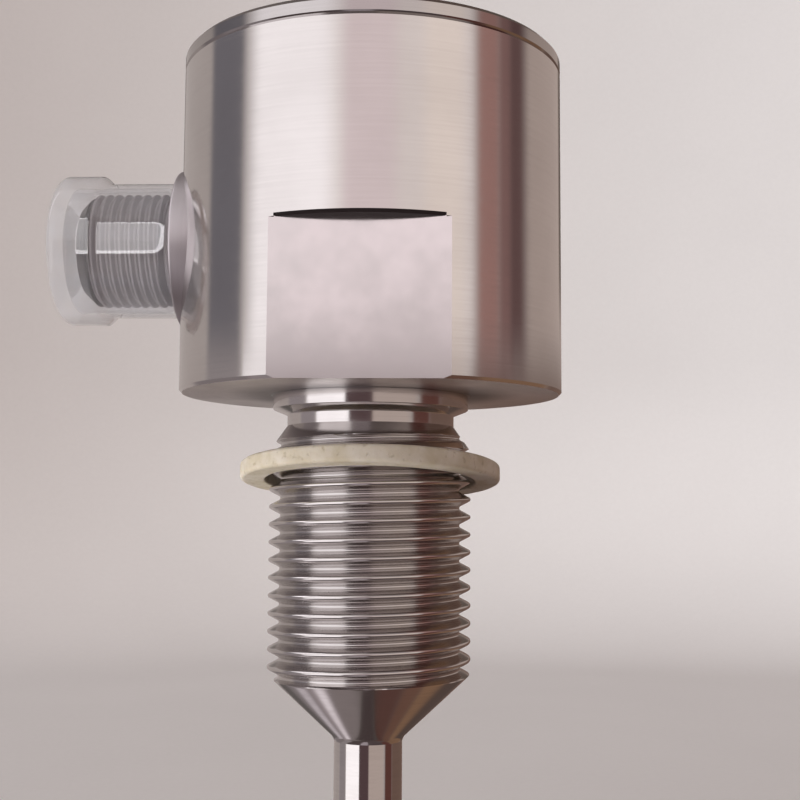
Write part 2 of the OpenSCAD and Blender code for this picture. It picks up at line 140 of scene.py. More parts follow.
class SteelLook(bpy.types.PropertyGroup):
    """Colours and polish of the steel parts."""

    bright: FloatVectorProperty(
        name="Bright steel", description="Colour of clean turned steel",
        subtype="COLOR", min=0, max=1, default=(0.66, 0.63, 0.62))
    shaded: FloatVectorProperty(
        name="Shaded steel", description="Colour in the cloudy patches of the steel",
        subtype="COLOR", min=0, max=1, default=(0.61, 0.58, 0.57))
    milled: FloatVectorProperty(
        name="Milled steel", description="Colour of the wrench flats",
        subtype="COLOR", min=0, max=1, default=(0.85, 0.84, 0.845))
    lid: FloatVectorProperty(
        name="Lid steel", description="Colour of the lid's rim and bevel",
        subtype="COLOR", min=0, max=1, default=(0.50, 0.475, 0.47))
    underside: FloatVectorProperty(
        name="Underside", description="Colour of the dull face under the head",
        subtype="COLOR", min=0, max=1, default=(0.90, 0.85, 0.82))
    # painted shade: the ledge over each flat is coloured near black where shade falls
    shaded_ledge: FloatVectorProperty(
        name="Ledge", description="Colour of the rough ledge over each flat",
        subtype="COLOR", min=0, max=1, default=(0.09, 0.075, 0.075))
    head_polish: FloatProperty(
        name="Head roughness", description="Roughness of the polished round wall",
        subtype="FACTOR", min=0.02, max=1, default=0.1)
    flat_polish: FloatProperty(
        name="Flat roughness", description="Roughness of the milled wrench flats",
        subtype="FACTOR", min=0.02, max=1, default=0.19)
    thread_polish: FloatProperty(
        name="Thread roughness", description="Roughness of the cut threads",
        subtype="FACTOR", min=0.02, max=1, default=0.11)


class ThreadSizes(bpy.types.PropertyGroup):
    """Sizes of the two cut threads."""

    process_d: FloatProperty(
        name="Process thread diameter", description="Outer diameter of the G 1/2 thread",
        unit="LENGTH", subtype="DISTANCE", precision=5, default=20.955 * MM)
    process_pitch: FloatProperty(
        name="Process thread pitch", description="Pitch of the G 1/2 thread, 14 turns to the inch",
        unit="LENGTH", subtype="DISTANCE", precision=5, default=25.4 / 14 * MM)
    process_crest: FloatProperty(
        name="Front crest height", description="Height of one crest of the process thread at the front",
        unit="LENGTH", subtype="DISTANCE", precision=5, default=-9.39 * MM)
    plug_d: FloatProperty(
        name="Plug thread diameter", description="Outer diameter of the M12 thread",
        unit="LENGTH", subtype="DISTANCE", precision=5, default=12 * MM)
    plug_pitch: FloatProperty(
        name="Plug thread pitch", description="Pitch of the M12 thread",
        unit="LENGTH", subtype="DISTANCE", precision=5, default=1 * MM)
    columns: IntProperty(
        name="Columns", description="Steps round each thread", min=48, max=220, default=152)


class SoftLook(bpy.types.PropertyGroup):
    """Colours of the cap and the washer."""

    cap_tint: FloatVectorProperty(
        name="Cap tint", description="Colour of the clear cap",
        subtype="COLOR", min=0, max=1, default=(0.925, 0.95, 0.985))
    cap_haze: FloatProperty(
        name="Cap haze", description="Roughness inside the clear cap",
        subtype="FACTOR", min=0, max=1, default=0.06)
    cap_clear: FloatProperty(
        name="Cap clearness", description="Share of the light that passes the cap's plastic",
        subtype="FACTOR", min=0, max=1, default=0.93)
    washer_light: FloatVectorProperty(
        name="Washer light", description="Light colour of the washer",
        subtype="COLOR", min=0, max=1, default=(0.67, 0.62, 0.525))
    washer_deep: FloatVectorProperty(
        name="Washer deep", description="Yellowed colour of the washer",
        subtype="COLOR", min=0, max=1, default=(0.55, 0.49, 0.365))


class StudioSet(bpy.types.PropertyGroup):
    """Camera, floor and light."""

    camera_place: FloatVectorProperty(
        name="Camera place", description="Where the camera stands",
        unit="LENGTH", subtype="TRANSLATION", precision=5,
        default=(8.377 * MM, -132.028 * MM, -12.352 * MM))
    heading: FloatProperty(
        name="Heading", description="Turn of the camera about the vertical",
        unit="ROTATION", subtype="ANGLE", default=math.radians(2.3))
    rise: FloatProperty(
        name="Rise", description="How far the camera looks up",
        unit="ROTATION", subtype="ANGLE", default=math.radians(5.184))
    roll: FloatProperty(
        name="Roll", description="Turn of the camera about its own axis",
        unit="ROTATION", subtype="ANGLE", default=math.radians(0.3415))
    lens: FloatProperty(
        name="Lens", description="Focal length on a sensor 36 mm wide",
        unit="CAMERA", default=56.84)
    floor_tone: FloatVectorProperty(
        name="Floor", description="Colour of the floor and the backdrop",
        subtype="COLOR", min=0, max=1, default=(0.95, 0.95, 0.93))
    light: FloatProperty(
        name="Light", description="Strength of the surrounding light", min=0, max=10, default=1.0)
    card: FloatProperty(
        name="Card", description="Strength of the light card that the cap mirrors",
        min=0, max=20, default=4.5)
    fill: FloatProperty(
        name="Fill", description="Power of the soft light at the left, in watts", min=0, max=10, default=0.3)


# ---- shapes


def rounded(corners, closed=True, step=12.0):
    """A path through (radius, height, rounding) corners, with an arc at each rounded one."""
    path = []
    count = len(corners)
    for i, (r, z, radius) in enumerate(corners):
        here = Vector((r, z))
        if radius == 0 or (not closed and i in (0, count - 1)):
            path.append((r, z))
            continue
        to_last = (Vector(corners[i - 1][:2]) - here).normalized()
        to_next = (Vector(corners[(i + 1) % count][:2]) - here).normalized()
        half = to_last.angle(to_next) / 2
        centre = here + (to_last + to_next).normalized() * radius / math.sin(half)
        first = here + to_last * radius / math.tan(half) - centre
        last = here + to_next * radius / math.tan(half) - centre
        sweep = math.pi - 2 * half
        steps = 2 * max(1, math.ceil(math.degrees(sweep) / step / 2))
        for k in range(steps + 1):
            t = k / steps
            p = centre + (first * math.sin((1 - t) * sweep) + last * math.sin(t * sweep)) / math.sin(sweep)
            path.append((p.x, p.y))
    return path


def thread_form(pitch, major, form):
    """One pitch of a thread as (distance, radius) points, from the middle of a crest on.

    The form gives the half angle, then half the widths of the flats at crest and root before they are
    rounded, where 0 is a plain V, and the two roundings. All but the angle are in pitches."""
    half_angle = form[0]
    crest, root, crest_round, root_round = (share * pitch for share in form[1:])
    slope = 1 / math.tan(math.radians(half_angle))
    top = major
    if crest == 0:
        top = major + crest_round * (1 / math.sin(math.radians(half_angle)) - 1)
    bottom = top - (pitch / 2 - crest - root) * slope
    corners = []
    for turn in (-1, 0, 1):
        middle = turn * pitch
        corners += [(middle - crest, top, crest_round), (middle + crest, top, crest_round)][crest == 0:]
        middle += pitch / 2
        corners += [(middle - root, bottom, root_round), (middle + root, bottom, root_round)][root == 0:]
    points = rounded(corners, closed=False, step=20)
    finer = []
    for (t0, r0), (t1, r1) in zip(points, points[1:]):
        parts = max(1, math.ceil((t1 - t0) / (pitch / 22)))
        finer += [(t0 + (t1 - t0) * k / parts, r0 + (r1 - r0) * k / parts) for k in range(parts)]
    return [p for p in finer if -1e-6 <= p[0] < pitch - 1e-6]


def thread_rows(form, pitch, crest_at, low, high, outline, columns):
    """Radii and heights of a right-hand thread as two grids, cut back to an outline at its ends.

    The rows follow the helix and run downwards. Past low and high they close up on a plain ring."""
    angles = np.linspace(0, 2 * math.pi, columns + 1)
    start = crest_at + math.ceil((high - crest_at) / pitch + 1.5) * pitch
    turns = math.ceil((start - low) / pitch + 1.5)
    depth = np.array([turn * pitch + t for turn in range(turns) for t, _ in form])
    radius = np.array([r for _ in range(turns) for _, r in form])
    heights = start - depth[:, None] + pitch * (angles[None, :] / (2 * math.pi) + 0.25)
    heights = np.clip(heights, low, high)
    limit = np.interp(heights, [z for z, _ in outline], [r for _, r in outline])
    return np.minimum(radius[:, None], limit), heights


def plain_rows(path, columns):
    """A path of (radius, height) points as two grids, the same all the way round."""
    points = np.array(path)
    return tuple(np.repeat(points[:, i : i + 1], columns + 1, axis=1) for i in (0, 1))


def soften(mesh, sharp=32.0):
    """Smooth shading, with the edges that turn more than so many degrees kept sharp."""
    bm = bmesh.new()
    bm.from_mesh(mesh)
    bmesh.ops.remove_doubles(bm, verts=bm.verts, dist=1.5e-6)
    bmesh.ops.dissolve_degenerate(bm, edges=bm.edges, dist=1e-7)
    bmesh.ops.recalc_face_normals(bm, faces=bm.faces)
    limit = math.radians(sharp)
    for face in bm.faces:
        face.smooth = True
    for edge in bm.edges:
        edge.smooth = edge.calc_face_angle(math.pi) < limit
    bm.to_mesh(mesh)
    bm.free()


def turned_piece(name, blocks, place=None, closed=True):
    """A piece from grids of radii and heights in millimetres, turned about Z and then placed."""
    radii = np.vstack([b[0] for b in blocks])
    heights = np.vstack([b[1] for b in blocks])
    rows, width = radii.shape
    angles = np.linspace(0, 2 * math.pi, width)
    points = np.stack([radii * np.cos(angles), radii * np.sin(angles), heights], axis=-1) * MM
    index = np.arange(rows * width).reshape(rows, width)
    upper = index if closed else index[:-1]
    lower = np.roll(index, -1, axis=0) if closed else index[1:]
    quads = np.stack([upper[:, :-1], lower[:, :-1], lower[:, 1:], upper[:, 1:]], axis=-1).reshape(-1, 4)
    mesh = bpy.data.meshes.new(name)
    mesh.from_pydata(points.reshape(-1, 3).tolist(), [], quads.tolist())
    if place is not None:
        mesh.transform(place)
    soften(mesh)
    piece = bpy.data.objects.new(name, mesh)
    bpy.context.scene.collection.objects.link(piece)
    return piece


def plug_place():
    """Turns a piece made about Z so that its height runs outwards along the plug's axis."""
    return Matrix(((0, 0, -1, 0), (0, 1, 0, 0), (1, 0, 0, PLUG_AXIS_Z * MM), (0, 0, 0, 1)))


def dress(piece, body, node, material):
    """Puts a piece in a node's place, with its material, on its body."""
    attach(piece, body)
    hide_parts(node)
    piece.data.materials.append(material)


def paint(material, *nodes):
    """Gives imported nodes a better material."""
    for name in nodes:
        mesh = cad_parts[name].data
        mesh.materials.clear()
        mesh.materials.append(material)


# ---- finishes


# metres of noise that one radian round a turned piece takes up: the less, the longer the marks
MARK_STRETCH = 0.0004
# colour of the painted shade and dark reflection under the head
UNDER_SHADE_COLOUR = (0.12, 0.10, 0.10)
# how dark the painted shade on turned steel makes the shaded colour
PAINTED_SHADE_LEVEL = 0.2


class Wiring:
    """A short way to add and join shader nodes."""

    def __init__(self, tree):
        self.tree = tree
        tree.nodes.clear()

    def add(self, kind, inputs=None, **settings):
        """A new node, with values or other nodes' sockets on its inputs."""
        node = self.tree.nodes.new("ShaderNode" + kind)
        for key, value in settings.items():
            setattr(node, key, value)
        for key, value in (inputs or {}).items():
            if isinstance(value, bpy.types.NodeSocket):
                self.tree.links.new(value, node.inputs[key])
            else:
                node.inputs[key].default_value = value
        return node

    def math(self, operation, a, b=0.0):
        return self.add("Math", {0: a, 1: b}, operation=operation).outputs[0]

    def vector(self, operation, a, b):
        return self.add("VectorMath", {0: a, 1: b}, operation=operation).outputs[0]

    def ranged(self, value, low, high, to_low=0.0, to_high=1.0, smooth=False):
        """A value between low and high, laid over another range."""
        inputs = {"Value": value, "From Min": low, "From Max": high, "To Min": to_low, "To Max": to_high}
        kind = "SMOOTHSTEP" if smooth else "LINEAR"
        return self.add("MapRange", inputs, interpolation_type=kind).outputs["Result"]

    def noise(self, vector, scale, detail=3.0, roughness=0.5):
        inputs = {"Vector": vector, "Scale": scale, "Detail": detail, "Roughness": roughness}
        return self.add("TexNoise", inputs).outputs["Fac"]

    def mixed(self, factor, a, b):
        """A colour between a and b, each a colour or a socket."""
        node = self.add("Mix", {"Factor": factor}, data_type="RGBA")
        for socket, value in ((6, a), (7, b)):
            if isinstance(value, bpy.types.NodeSocket):
                self.tree.links.new(value, node.inputs[socket])
            else:
                node.inputs[socket].default_value = (*value, 1)
        return node.outputs[2]

    def blended(self, a, b, share):
        """So much of a and the rest of b."""
        return self.math("ADD", self.math("MULTIPLY", a, share), self.math("MULTIPLY", b, 1 - share))

    def picked(self, factor, a, b):
        """A number between a and b."""
        return self.add("Mix", {"Factor": factor, 2: a, 3: b}, data_type="FLOAT").outputs[0]

    def place(self):
        """The place on the piece, in metres in its own frame."""
        return self.add("TexCoord").outputs["Object"]

    def split(self, vector):
        return self.add("SeparateXYZ", {0: vector}).outputs

    def joined(self, x, y, z):
        return self.add("CombineXYZ", {0: x, 1: y, 2: z}).outputs[0]

    def bump(self, height, depth_mm):
        inputs = {"Height": height, "Distance": depth_mm * MM, "Strength": 1.0}
        return self.add("Bump", inputs).outputs["Normal"]

    def surface(self, sockets):
        """The finished surface, from what each of its sockets gets."""
        shader = self.add("BsdfPrincipled", sockets)
        self.add("OutputMaterial", {"Surface": shader.outputs[0]})


def new_material(name):
    """An empty material and the wiring for its nodes."""
    material = bpy.data.materials.new(name)
    material.use_nodes = True
    return material, Wiring(material.node_tree)


def lathe_place(w, axis, centre=(0, 0, 0)):
    """Distance from an axis, distance along it and angle about it."""
    local = w.vector("SUBTRACT", w.place(), tuple(c * MM for c in centre))
    x, y, z = w.split(local)[:]
    a, b, along = {"Z": (x, y, z), "X": (z, y, x)}[axis]
    radius = w.math("SQRT", w.math("ADD", w.math("MULTIPLY", a, a), w.math("MULTIPLY", b, b)))
    return radius, along, w.math("ARCTAN2", b, a)


def lathe_marks(w, spacing_mm, radius, along, angle):
    """Noise drawn out round an axis, as the tool leaves it, with so many millimetres between marks."""
    vector = w.joined(radius, along, w.math("MULTIPLY", angle, MARK_STRETCH))
    return w.noise(vector, 1 / (spacing_mm * MM), 2.0, 0.6)


def turned_metal(name, bright, shaded, rough, axis="Z", marks_mm=0.25, bump_mm=0.002,
                 anisotropic=0.5, cloud_mm=4.0, centre=(0, 0, 0), spread=0.05, painted_shades=()):
    """Turned metal: cloudy colour, tool marks round the axis in roughness and bump.

    Each painted shade darkens the colour, standing in for shade and dark reflections, and dulls the metal
    between two places on the axis, most at its inner radius."""
    material, w = new_material(name)
    radius, along, angle = lathe_place(w, axis, centre)
    marks = lathe_marks(w, marks_mm, radius, along, angle)
    cloud = w.noise(w.place(), 1 / (cloud_mm * MM), 4.0)
    share = w.ranged(w.blended(marks, cloud, 0.45), 0.38, 0.62)
    colour = w.mixed(share, bright, shaded)
    roughness = w.ranged(w.math("ADD", marks, cloud), 0.75, 1.25, rough - spread / 2, rough + spread)
    # painted shade and dark reflection laid on the colour by place; it also makes the steel rougher
    for low, high, inner, outer, strength, dulling in painted_shades:
        shade_mask = w.math("MULTIPLY", w.math("GREATER_THAN", along, low * MM),
                      w.math("LESS_THAN", along, high * MM))
        shade_mask = w.math("MULTIPLY", shade_mask, w.ranged(radius, inner * MM, outer * MM, 1.0, 0.0))
        colour = w.mixed(w.math("MULTIPLY", shade_mask, strength), colour, tuple(c * PAINTED_SHADE_LEVEL for c in shaded))
        roughness = w.math("ADD", roughness, w.math("MULTIPLY", shade_mask, dulling))
    w.surface({
        "Base Color": colour,
        "Metallic": 1.0,
        "Roughness": roughness,
        "Anisotropic": anisotropic,
        "Tangent": w.add("Tangent", direction_type="RADIAL", axis=axis).outputs[0],
        "Normal": w.bump(marks, bump_mm),
    })
    return material


def head_steel(look):
    """Polished round wall and lid, with duller, mottled flats under rough ledges painted dark as shade, and
    painted shade under the head.
    """
    material, w = new_material("head_steel")
    place = w.place()
    y, z = w.split(place)[1:]
    normal = w.split(w.add("NewGeometry").outputs["True Normal"])
    near_side = w.math("GREATER_THAN", w.math("ABSOLUTE", y), (FLAT_Y - 0.04) * MM)
    low = w.math("LESS_THAN", z, FLAT_TOP * MM)
    flat = w.math("MULTIPLY", w.math("MULTIPLY", near_side, low),
                  w.math("GREATER_THAN", w.math("ABSOLUTE", normal[1]), 0.9995))
    from_top = w.math("ABSOLUTE", w.math("SUBTRACT", z, FLAT_TOP * MM))
    near_ledge = w.math("LESS_THAN", from_top, 0.5 * MM)
    # painted shade on the downward-facing ledge over each flat
    shaded_ledge = w.math("MULTIPLY", near_ledge, w.math("LESS_THAN", normal[2], -0.3))
    under = w.math("MULTIPLY", w.math("LESS_THAN", z, 0.5 * MM), w.math("LESS_THAN", normal[2], -0.9))
    lid = w.math("GREATER_THAN", z, LID_SEAM * MM)
    radius, along, angle = lathe_place(w, "Z")
    # painted shade and dark reflection under the head, darkest next to the collar
    under_shade = w.ranged(radius, UNDER_SHADE[0] * MM, UNDER_SHADE[1] * MM, 0.7, 0.0, smooth=True)
    marks = lathe_marks(w, 0.22, radius, along, angle)
    cloud = w.noise(place, 1 / (7 * MM), 4.0)
    mottle = w.noise(place, 1 / (3.2 * MM), 4.0, 0.55)
    share = w.ranged(w.blended(marks, cloud, 0.3), 0.35, 0.65)
    wall = w.mixed(share, tuple(look.bright), tuple(look.shaded))
    wall = w.mixed(lid, wall, w.mixed(share, tuple(look.lid), tuple(c * 0.92 for c in look.lid)))
    dull = w.mixed(share, tuple(look.underside), tuple(c * 0.85 for c in look.underside))
    dull = w.mixed(under_shade, dull, UNDER_SHADE_COLOUR)
    wall = w.mixed(under, wall, dull)
    milled = w.mixed(w.ranged(mottle, 0.32, 0.68), tuple(look.milled),
                     tuple(c * 0.94 for c in look.milled))
    wall_rough = w.ranged(w.math("ADD", marks, cloud), 0.75, 1.25,
                          look.head_polish - 0.02, look.head_polish + 0.03)
    flat_rough = w.ranged(mottle, 0.3, 0.7, look.flat_polish - 0.04, look.flat_polish + 0.05)
    roughness = w.picked(under, w.picked(flat, wall_rough, flat_rough), w.ranged(cloud, 0.3, 0.7, 0.36, 0.46))
    height = w.picked(flat, marks, w.math("MULTIPLY", mottle, 3.5))
    w.surface({
        "Base Color": w.mixed(shaded_ledge, w.mixed(flat, wall, milled), tuple(look.shaded_ledge)),
        "Metallic": 1.0,
        "Roughness": w.picked(shaded_ledge, roughness, 0.55),
        "Anisotropic": 0.45,
        "Tangent": w.add("Tangent", direction_type="RADIAL", axis="Z").outputs[0],
        "Normal": w.bump(height, 0.0003),
    })
    return material


def moulded(name, light, dark, rough, grain_mm=0.3, cloud_mm=3.0, bump_mm=0.004):
    """Moulded, cast or laid material: fine grain in bump and roughness, cloudy colour."""
    material, w = new_material(name)
    grain = w.noise(w.place(), 1 / (grain_mm * MM), 3.0)
    cloud = w.noise(w.place(), 1 / (cloud_mm * MM), 4.0)
    share = w.ranged(w.blended(grain, cloud, 0.4), 0.36, 0.64)
    w.surface({
        "Base Color": w.mixed(share, light, dark),
        "Roughness": w.ranged(grain, 0.3, 0.7, max(0.02, rough - 0.06), min(1.0, rough + 0.08)),
        "Normal": w.bump(grain, bump_mm),
    })
    return material


def clear_plastic(look):
    """Clear moulded plastic, a little milky, with flow lines under a glossy skin."""
    material, w = new_material("clear_plastic")
    grain = w.noise(w.place(), 1 / (1.1 * MM), 3.0)
    flow = w.noise(w.vector("MULTIPLY", w.place(), (0.25, 1, 1)), 1 / (2.5 * MM), 2.0)
    w.surface({
        "Base Color": w.mixed(w.ranged(flow, 0.35, 0.65), tuple(look.cap_tint), (0.94, 0.945, 0.955)),
        "Roughness": w.ranged(grain, 0.3, 0.7, look.cap_haze * 0.8, look.cap_haze * 1.2),
        "IOR": 1.01,
        "Transmission Weight": look.cap_clear,
        "Coat Weight": 1.0,
        "Coat IOR": 1.5,
        "Coat Roughness": 0.03,
        "Normal": w.bump(flow, 0.002),
    })
    return material


def washer_fibre(look):
    """Pressed washer: cream with yellowed patches, dark specks and small pits."""
    material, w = new_material("washer_fibre")
    place = w.place()
    cloud = w.noise(place, 1 / (3.2 * MM), 5.0, 0.6)
    fibre = w.noise(place, 1 / (0.35 * MM), 4.0, 0.65)
    specks = w.ranged(w.noise(place, 1 / (0.6 * MM), 2.0, 0.4), 0.62, 0.73)
    base = w.mixed(w.ranged(cloud, 0.38, 0.62), tuple(look.washer_light), tuple(look.washer_deep))
    base = w.mixed(w.math("MULTIPLY", specks, 0.55), base, (0.36, 0.30, 0.20))
    height = w.math("SUBTRACT", fibre, w.math("MULTIPLY", specks, 0.7))
    w.surface({
        "Base Color": base,
        "Roughness": w.ranged(fibre, 0.3, 0.7, 0.5, 0.72),
        "Subsurface Weight": 0.15,
        "Subsurface Radius": (0.6 * MM, 0.4 * MM, 0.2 * MM),
        "Normal": w.bump(height, 0.03),
    })
    return material


def circuit_board():
    """Green board with copper runs under the resist and round pads."""
    material, w = new_material("circuit_board")
    place = w.place()
    cells = w.add("TexBrick", {
        "Vector": place, "Scale": 1 / (1.6 * MM), "Mortar Size": 0.12, "Mortar Smooth": 0.1,
        "Brick Width": 1.7, "Row Height": 0.5,
        "Color1": (0.012, 0.13, 0.05, 1), "Color2": (0.010, 0.11, 0.045, 1), "Mortar": (0.03, 0.22, 0.09, 1),
    })
    cloud = w.noise(place, 1 / (2.5 * MM), 3.0)
    pads = w.add("TexVoronoi", {"Vector": place, "Scale": 1 / (2.3 * MM), "Randomness": 0.7})
    pad = w.ranged(pads.outputs["Distance"], 0.16, 0.13)
    base = w.mixed(w.ranged(cloud, 0.3, 0.7, 0.0, 0.35), cells.outputs["Color"], (0.008, 0.08, 0.035))
    base = w.mixed(pad, base, (0.62, 0.6, 0.56))
    w.surface({
        "Base Color": base,
        "Metallic": w.math("MULTIPLY", pad, 0.9),
        "Roughness": w.ranged(cloud, 0.3, 0.7, 0.3, 0.45),
        "Normal": w.bump(w.math("ADD", cells.outputs["Fac"], pad), 0.03),
    })
    return material


# ---- operators


class SWITCH_OT_head(bpy.types.Operator):
    """Polish the head and its lid, with duller wrench flats"""

    bl_idname = "flow_switch.head"
    bl_label = "Head and lid"

    def execute(self, context):
        paint(head_steel(context.scene.switch_steel), "head_housing", "head_cover")
        return {"FINISHED"}


class SWITCH_OT_fitting(bpy.types.Operator):
    """Cut the process thread with its run-in and cone"""

    bl_idname = "flow_switch.fitting"
    bl_label = "Process fitting"

    def execute(self, context):
        sizes, steel = context.scene.switch_threads, context.scene.switch_steel
        radius = sizes.process_d / 2 / MM
        pitch = sizes.process_pitch / MM
        columns = sizes.columns
        form = thread_form(pitch, radius, PROCESS_FORM)
        stop_r = radius - (THREAD_LAST - THREAD_STOP) * CONE_SLOPE
        outline = [
            (THREAD_STOP, stop_r), (THREAD_LAST, radius),
            (THREAD_FULL, radius), (THREAD_START, RELIEF_RADIUS),
        ]
        crest = sizes.process_crest / MM
        thread = thread_rows(form, pitch, crest, THREAD_STOP, THREAD_START, outline, columns)
        blend = [
            (BLEND_CENTRE[0] + BLEND_RADIUS * math.cos(a), BLEND_CENTRE[1] + BLEND_RADIUS * math.sin(a))
            for a in np.radians(np.linspace(BLEND_FROM, BLEND_TO, BLEND_STEPS))
        ]
        top = plain_rows(rounded(FITTING_TOP, closed=False), columns)
        cone = plain_rows(blend + [(FITTING_TOP[0][0], blend[-1][1])], columns)
        piece = turned_piece("fitting_body", [top, thread, cone])
        steel_cut = turned_metal(
            "thread_cut_steel", tuple(steel.bright), tuple(steel.shaded), steel.thread_polish,
            marks_mm=0.2, bump_mm=0.0002, anisotropic=0.4, spread=0.03, painted_shades=FITTING_PAINTED_SHADES)
        dress(piece, "switch", "process_fitting", steel_cut)
        return {"FINISHED"}


class SWITCH_OT_probe(bpy.types.Operator):
    """Polish the probe tube"""

    bl_idname = "flow_switch.probe"
    bl_label = "Probe tube"

    def execute(self, context):
        steel = context.scene.switch_steel
        paint(turned_metal("probe_steel", tuple(steel.bright), tuple(steel.shaded), 0.065,
                           marks_mm=0.3, bump_mm=0.0008, spread=0.03), "probe_tube")
        return {"FINISHED"}


class SWITCH_OT_plug(bpy.types.Operator):
    """Cut the plug's thread and finish its insert and pins"""

    bl_idname = "flow_switch.plug"
    bl_label = "Plug"

    def execute(self, context):
        sizes, steel = context.scene.switch_threads, context.scene.switch_steel
        radius = sizes.plug_d / 2 / MM
        pitch = sizes.plug_pitch / MM
        columns = sizes.columns
        form = thread_form(pitch, radius, PLUG_FORM)
        low, full, last, high = PLUG_THREAD
        nose_r = radius - (high - last)
        outline = [(low, PLUG_RELIEF_RADIUS), (full, radius), (last, radius), (high, nose_r)]
        radii, heights = thread_rows(form, pitch, full, low, high, outline, columns)
        back = plain_rows(rounded(PLUG_BACK, closed=False), columns)
        nose = plain_rows(rounded(PLUG_NOSE, closed=False), columns)
        rows = [back, (radii[::-1], heights[::-1]), nose]
        piece = turned_piece("plug_body", rows, plug_place())
        plated = turned_metal(
            "plated_shell", (0.56, 0.525, 0.54), (0.52, 0.485, 0.50), steel.thread_polish + 0.27,
            axis="X", marks_mm=0.8, bump_mm=0.0003, centre=(0, 0, PLUG_AXIS_Z), painted_shades=PLUG_PAINTED_SHADES)
        dress(piece, "switch", "plug_shell", plated)
        paint(moulded("insert_black", (0.02, 0.02, 0.022), (0.035, 0.034, 0.036), 0.42), "contact_carrier")
        paint(turned_metal("pin_gold", (0.86, 0.64, 0.28), (0.75, 0.52, 0.2), 0.2, axis="X",
                           marks_mm=0.1, cloud_mm=0.8), "contact_pins")
        paint(moulded("seal_rubber", (0.018, 0.018, 0.018), (0.03, 0.03, 0.03), 0.6, 0.15, 1.5),
              "plug_seal", "cover_o_ring", "fitting_o_ring")
        paint(moulded("wire_brown", (0.16, 0.06, 0.025), (0.11, 0.04, 0.018), 0.45, 0.2, 2.0), "plug_wires")
        return {"FINISHED"}


class SWITCH_OT_cap(bpy.types.Operator):
    """Mould the clear cap over the plug"""

    bl_idname = "flow_switch.cap"
    bl_label = "Clear cap"

    def execute(self, context):
        rows = plain_rows(rounded(CAP, closed=False, step=8), CAP_COLUMNS)
        piece = turned_piece("clear_cap", [rows], plug_place(), closed=False)
        dress(piece, "cap", "protective_cap", clear_plastic(context.scene.switch_soft))
        return {"FINISHED"}


class SWITCH_OT_washer(bpy.types.Operator):
    """Lay the loose washer, slightly uneven, on the thread"""

    bl_idname = "flow_switch.washer"
    bl_label = "Loose washer"

    def execute(self, context):
        tilt = Matrix.Rotation(math.radians(-WASHER_TILT), 4, "X")
        corners = []
        for i, (r, z, radius) in enumerate(WASHER):
            corners.append((r, z, radius))
            if i in (0, 2):
                after = WASHER[i + 1]
                corners += [(r + (after[0] - r) * k / 5, z, 0.0) for k in (1, 2, 3, 4)]
        rows = plain_rows(rounded(corners, step=15), WASHER_COLUMNS)
        piece = turned_piece("loose_washer", [rows])
        for vert in piece.data.vertices:
            wave = sum(noise.noise(vert.co * count) * height for count, height in WASHER_WAVES)
            vert.co += vert.normal * wave * MM
        piece.data.transform(Matrix.Translation((0, 0, WASHER_Z * MM)) @ tilt)
        dress(piece, "switch", "seal_washer", washer_fibre(context.scene.switch_soft))
        return {"FINISHED"}


class SWITCH_OT_electronics(bpy.types.Operator):
    """Finish the boards, their parts and posts inside the head"""

    bl_idname = "flow_switch.electronics"
    bl_label = "Electronics"

    def execute(self, context):
        paint(circuit_board(), "sensor_board", "main_board")
        paint(moulded("chip_black", (0.02, 0.02, 0.022), (0.032, 0.032, 0.034), 0.5, 0.12, 1.2),
              "amplifier_chip", "regulator_chip", "controller_chip", "output_switches")
        paint(moulded("header_black", (0.015, 0.015, 0.016), (0.03, 0.03, 0.03), 0.45), "board_header")
        paint(turned_metal("can_aluminium", (0.72, 0.73, 0.75), (0.62, 0.63, 0.66), 0.32, marks_mm=0.4),
              "buffer_capacitor")
        paint(moulded("ferrite_grey", (0.07, 0.07, 0.075), (0.04, 0.04, 0.043), 0.7, 0.25, 1.5, 0.01),
              "supply_choke")
        paint(turned_metal("screw_steel", (0.62, 0.62, 0.63), (0.52, 0.52, 0.53), 0.28, cloud_mm=1.0),
              "board_screws")
        paint(turned_metal("nut_brass", (0.78, 0.60, 0.28), (0.66, 0.48, 0.2), 0.26),
              "lower_pillars", "upper_pillars", "ring_nut")
        paint(moulded("resin_black", (0.012, 0.012, 0.015), (0.03, 0.03, 0.034), 0.22, 1.2, 5.0, 0.02),
              "head_potting")
        return {"FINISHED"}


class SWITCH_OT_sensor(bpy.types.Operator):
    """Finish the sensor strip, its chips and the filling in the probe"""

    bl_idname = "flow_switch.sensor"
    bl_label = "Sensor strip"

    def execute(self, context):
        paint(moulded("strip_amber", (0.62, 0.30, 0.06), (0.48, 0.2, 0.035), 0.35, 0.2, 2.0), "sensor_strip")
        paint(moulded("chip_ceramic", (0.82, 0.82, 0.78), (0.72, 0.72, 0.68), 0.4, 0.15, 0.8),
              "heated_sensor", "reference_sensor")
        paint(moulded("filling_grey", (0.6, 0.6, 0.63), (0.5, 0.5, 0.53), 0.55, 0.3, 1.2, 0.01),
              "tip_filling")
        paint(moulded("stopper_red", (0.36, 0.06, 0.04), (0.28, 0.045, 0.03), 0.55, 0.25, 1.5), "tube_plug")
        return {"FINISHED"}


